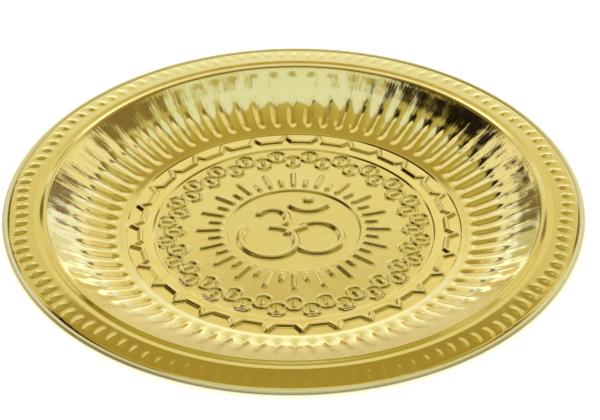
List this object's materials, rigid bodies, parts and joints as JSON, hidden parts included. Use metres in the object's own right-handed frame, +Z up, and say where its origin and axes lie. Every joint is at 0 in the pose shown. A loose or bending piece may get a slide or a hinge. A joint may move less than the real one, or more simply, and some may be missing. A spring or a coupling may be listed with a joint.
{
  "type": "puja thali",
  "caption": "Round embossed brass ritual plate with a fluted wall, a beaded rim and a rolled edge over a wire.",
  "frame": {"origin": "on the plate's axis, in the plane of the ring that the plate rests on", "axes": "+Z up along the plate's axis; +X to the right of the Om as it is read, +Y towards the Om's crescent"},
  "size_m": [0.23, 0.23, 0.0146],
  "materials": {
    "brass_sheet": "pressed brass sheet, polished",
    "steel_wire": "drawn soft steel wire"
  },
  "bodies": {
    "root": {"dish": "brass_sheet", "edge_wire": "steel_wire"}
  },
  "joints": []
}
